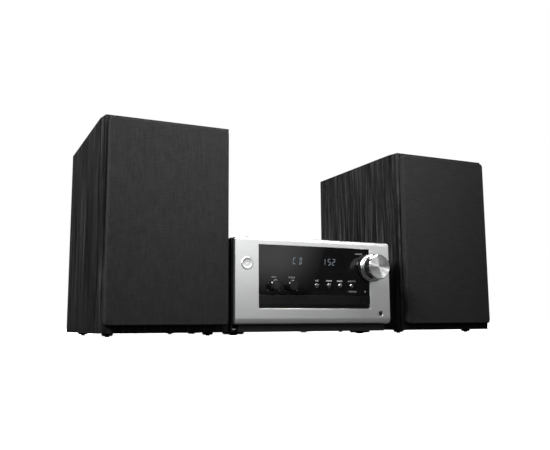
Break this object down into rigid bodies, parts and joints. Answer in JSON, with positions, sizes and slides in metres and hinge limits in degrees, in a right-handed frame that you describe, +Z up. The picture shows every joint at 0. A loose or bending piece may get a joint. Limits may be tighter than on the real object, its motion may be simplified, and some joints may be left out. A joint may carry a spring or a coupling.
{
  "type": "mini hifi system",
  "caption": "Compact disc-playing hi-fi: a low main unit with a gloss window, silver fascia and volume knob, between bookshelf speakers with cloth grilles and rear ports.",
  "frame": {"origin": "on the table, under the middle of the box around the whole set", "axes": "+X to the viewer's right, -Y out of the fronts, +Z up"},
  "size_m": [0.544, 0.267, 0.242],
  "materials": {
    "casing_black": "satin",
    "fascia_silver": "fine brushed",
    "chassis_steel": "zinc plated",
    "frame_black": "satin",
    "window_black": "mirror gloss",
    "display_glass": "smoked",
    "foot_rubber": "matt",
    "screw_steel": "black zinc",
    "board_green": "solder mask",
    "board_tan": "paper laminate",
    "loader_grey": "moulded",
    "plate_steel": "plated",
    "motor_steel": "plated",
    "gear_white": "moulded",
    "tray_black": "moulded",
    "knob_silver": "spun",
    "key_black": "gloss",
    "socket_black": "moulded",
    "socket_white": "moulded",
    "heatsink_aluminium": "extruded",
    "cabinet_wood": "black ash veneer",
    "grille_cloth": "woven",
    "cone_paper": "pulp",
    "surround_rubber": "satin"
  },
  "bodies": {
    "main_unit": {"bottom_chassis": "chassis_steel", "top_cover": "casing_black", "rear_panel": "casing_black", "front_panel": "fascia_silver", "front_frame": "frame_black", "display_window": "window_black", "display_module": "display_glass", "main_feet": "foot_rubber", "case_screws": "screw_steel", "front_board": "board_green", "headphone_jack": "socket_black", "cd_loader_frame": "loader_grey", "traverse_frame": "plate_steel", "loading_motor": "motor_steel", "main_board": "board_green", "power_board": "board_tan", "heatsink": "heatsink_aluminium", "ac_inlet": "socket_black", "input_sockets": "socket_black", "speaker_sockets": "socket_white", "volume_encoder": "plate_steel", "tone_controls": "plate_steel"},
    "tray": {"cd_tray": "tray_black", "tray_door": "key_black"},
    "power_button": {"power_button": "knob_silver"},
    "volume_knob": {"volume_knob": "knob_silver"},
    "bass_knob": {"bass_knob": "key_black"},
    "treble_knob": {"treble_knob": "key_black"},
    "play_button": {"play_button": "key_black"},
    "skip_back_button": {"skip_back_button": "key_black"},
    "skip_forward_button": {"skip_forward_button": "key_black"},
    "selector_button": {"selector_button": "key_black"},
    "eject_button": {"eject_button": "key_black"},
    "tray_gear": {"tray_gear": "gear_white"},
    "motor_pinion": {"motor_pinion": "gear_white"},
    "turntable": {"turntable": "tray_black"},
    "laser_pickup": {"laser_pickup": "frame_black"},
    "disc_clamper": {"disc_clamper": "gear_white"},
    "left_speaker": {"left_cabinet": "cabinet_wood", "left_baffle": "cabinet_wood", "left_woofer_frame": "casing_black", "left_woofer_suspension": "surround_rubber", "left_tweeters": "frame_black", "left_port_tube": "frame_black", "left_terminal_cup": "frame_black", "left_feet": "foot_rubber"},
    "left_grille": {"left_grille_frame": "frame_black", "left_grille_cloth": "grille_cloth"},
    "left_cone": {"left_woofer_cone": "cone_paper"},
    "right_speaker": {"right_cabinet": "cabinet_wood", "right_baffle": "cabinet_wood", "right_woofer_frame": "casing_black", "right_woofer_suspension": "surround_rubber", "right_tweeters": "frame_black", "right_port_tube": "frame_black", "right_terminal_cup": "frame_black", "right_feet": "foot_rubber"},
    "right_grille": {"right_grille_frame": "frame_black", "right_grille_cloth": "grille_cloth"},
    "right_cone": {"right_woofer_cone": "cone_paper"}
  },
  "joints": [
    {"name": "power_press", "type": "slide", "parent": "main_unit", "child": "power_button", "axis": [0, 1, 0], "range_m": [0, 0.001], "stiffness_N_per_m": 1500},
    {"name": "play_press", "type": "slide", "parent": "main_unit", "child": "play_button", "axis": [0, 1, 0], "range_m": [0, 0.0008], "stiffness_N_per_m": 1500},
    {"name": "skip_back_press", "type": "slide", "parent": "main_unit", "child": "skip_back_button", "axis": [0, 1, 0], "range_m": [0, 0.0008], "stiffness_N_per_m": 1500},
    {"name": "skip_forward_press", "type": "slide", "parent": "main_unit", "child": "skip_forward_button", "axis": [0, 1, 0], "range_m": [0, 0.0008], "stiffness_N_per_m": 1500},
    {"name": "selector_press", "type": "slide", "parent": "main_unit", "child": "selector_button", "axis": [0, 1, 0], "range_m": [0, 0.0008], "stiffness_N_per_m": 1500},
    {"name": "eject_press", "type": "slide", "parent": "main_unit", "child": "eject_button", "axis": [0, 1, 0], "range_m": [0, 0.0008], "stiffness_N_per_m": 1500},
    {"name": "volume_turn", "type": "hinge", "parent": "main_unit", "child": "volume_knob", "pos_m": [0.0613, -0.111, 0.0816], "axis": [0, 1, 0], "continuous": true},
    {"name": "bass_turn", "type": "hinge", "parent": "main_unit", "child": "bass_knob", "pos_m": [-0.0719, -0.111, 0.058], "axis": [0, 1, 0], "range_deg": [-135, 135]},
    {"name": "treble_turn", "type": "hinge", "parent": "main_unit", "child": "treble_knob", "pos_m": [-0.049, -0.111, 0.058], "axis": [0, 1, 0], "range_deg": [-135, 135]},
    {"name": "tray_slide", "type": "slide", "parent": "main_unit", "child": "tray", "axis": [0, -1, 0], "range_m": [0, 0.134]},
    {"name": "tray_gear_turn", "type": "hinge", "parent": "main_unit", "child": "tray_gear", "pos_m": [-0.069, -0.081, 0.03], "axis": [0, 0, 1], "range_deg": [0, 855]},
    {"name": "motor_pinion_turn", "type": "hinge", "parent": "main_unit", "child": "motor_pinion", "pos_m": [-0.048, -0.081, 0.027], "axis": [0, 0, 1], "range_deg": [-1710, 0]},
    {"name": "turntable_spin", "type": "hinge", "parent": "main_unit", "child": "turntable", "pos_m": [-0.022, -0.039, 0.03], "axis": [0, 0, 1], "continuous": true},
    {"name": "clamper_spin", "type": "hinge", "parent": "main_unit", "child": "disc_clamper", "pos_m": [-0.022, -0.039, 0.048], "axis": [0, 0, 1], "continuous": true},
    {"name": "pickup_slide", "type": "slide", "parent": "main_unit", "child": "laser_pickup", "axis": [0, 1, 0], "range_m": [0, 0.035]},
    {"name": "left_speaker_move", "type": "slide", "parent": "main_unit", "child": "left_speaker", "axis": [-1, 0, 0], "range_m": [0, 0.25]},
    {"name": "left_grille_pull", "type": "slide", "parent": "left_speaker", "child": "left_grille", "axis": [0, -1, 0], "range_m": [0, 0.02]},
    {"name": "left_cone_move", "type": "slide", "parent": "left_speaker", "child": "left_cone", "axis": [0, -1, 0], "range_m": [-0.003, 0.003], "stiffness_N_per_m": 1000, "deforming": ["left_woofer_suspension"]},
    {"name": "right_speaker_move", "type": "slide", "parent": "main_unit", "child": "right_speaker", "axis": [1, 0, 0], "range_m": [0, 0.25]},
    {"name": "right_grille_pull", "type": "slide", "parent": "right_speaker", "child": "right_grille", "axis": [0, -1, 0], "range_m": [0, 0.02]},
    {"name": "right_cone_move", "type": "slide", "parent": "right_speaker", "child": "right_cone", "axis": [0, -1, 0], "range_m": [-0.003, 0.003], "stiffness_N_per_m": 1000, "deforming": ["right_woofer_suspension"]}
  ],
  "couplings": [
    {"joint": "tray_gear_turn", "follows": "tray_slide", "rad_per_m": 111.11},
    {"joint": "motor_pinion_turn", "follows": "tray_slide", "rad_per_m": -222.22}
  ]
}
